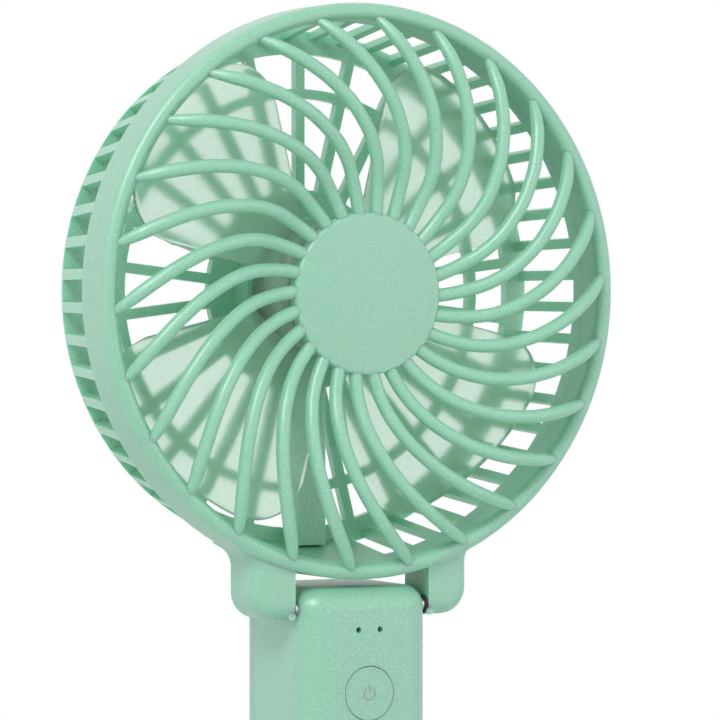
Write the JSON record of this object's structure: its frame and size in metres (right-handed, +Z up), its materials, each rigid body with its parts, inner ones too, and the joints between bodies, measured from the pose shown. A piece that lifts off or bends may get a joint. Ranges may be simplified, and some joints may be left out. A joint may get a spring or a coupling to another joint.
{
  "type": "handheld folding fan",
  "caption": "Battery handheld fan: a round caged head with translucent blades that nods forward on a rounded upright handle with a push button",
  "frame": {"origin": "centre of the handle's flat bottom", "axes": "+Z up along the handle, the fan blows towards -Y, +X to the right seen from the front"},
  "size_m": [0.105, 0.0338, 0.206],
  "materials": {
    "mint_plastic": "satin moulded, fine grain",
    "blade_clear": "frosted translucent plastic",
    "screw_steel": "zinc plated",
    "pin_steel": "ground",
    "motor_steel": "drawn can",
    "socket_steel": "folded and plated",
    "contact_nickel": "nickel plated",
    "bearing_brass": "sintered",
    "black_plastic": "moulded",
    "board_green": "solder mask",
    "cell_wrap": "shrink wrap",
    "led_white": "moulded",
    "clear_guide": "clear",
    "lead_red": "insulated wire",
    "lead_black": "insulated wire",
    "washer_rubber": "matt"
  },
  "bodies": {
    "handle": {"handle_front_shell": "mint_plastic", "handle_back_shell": "mint_plastic", "handle_screws": "screw_steel", "circuit_board": "board_green", "tactile_switch": "black_plastic", "charge_led": "led_white", "power_led": "led_white", "charge_light_guide": "clear_guide", "power_light_guide": "clear_guide", "usb_socket": "socket_steel", "battery_cell": "cell_wrap", "battery_contact_plus": "contact_nickel", "battery_contact_minus": "contact_nickel", "battery_spring": "contact_nickel"},
    "cover": {"battery_cover": "mint_plastic"},
    "button": {"power_button": "mint_plastic"},
    "head": {"head_front_shell": "mint_plastic", "front_grille": "mint_plastic", "rear_grille": "mint_plastic", "motor_screws": "screw_steel", "motor_can": "motor_steel", "motor_end_cap": "black_plastic", "motor_bearing": "bearing_brass", "motor_lead_plus": "lead_red", "motor_lead_minus": "lead_black", "hinge_pin_right": "pin_steel", "hinge_pin_left": "pin_steel", "friction_washer_right": "washer_rubber", "friction_washer_left": "washer_rubber"},
    "fan_wheel": {"impeller": "blade_clear", "motor_shaft": "pin_steel"}
  },
  "joints": [
    {"name": "head_fold", "type": "hinge", "parent": "handle", "child": "head", "pos_m": [0, -0.0087, 0.0959], "axis": [1, 0, 0], "range_deg": [0, 90]},
    {"name": "fan_spin", "type": "hinge", "parent": "head", "child": "fan_wheel", "pos_m": [0, -0.0123, 0.1535], "axis": [0, -1, 0], "continuous": true},
    {"name": "power_press", "type": "slide", "parent": "handle", "child": "button", "axis": [0, 1, 0], "range_m": [0, 0.0005], "stiffness_N_per_m": 800, "springref_m": -0.0002},
    {"name": "cover_slide", "type": "slide", "parent": "handle", "child": "cover", "axis": [0, 0, -1], "range_m": [0, 0.012]}
  ]
}
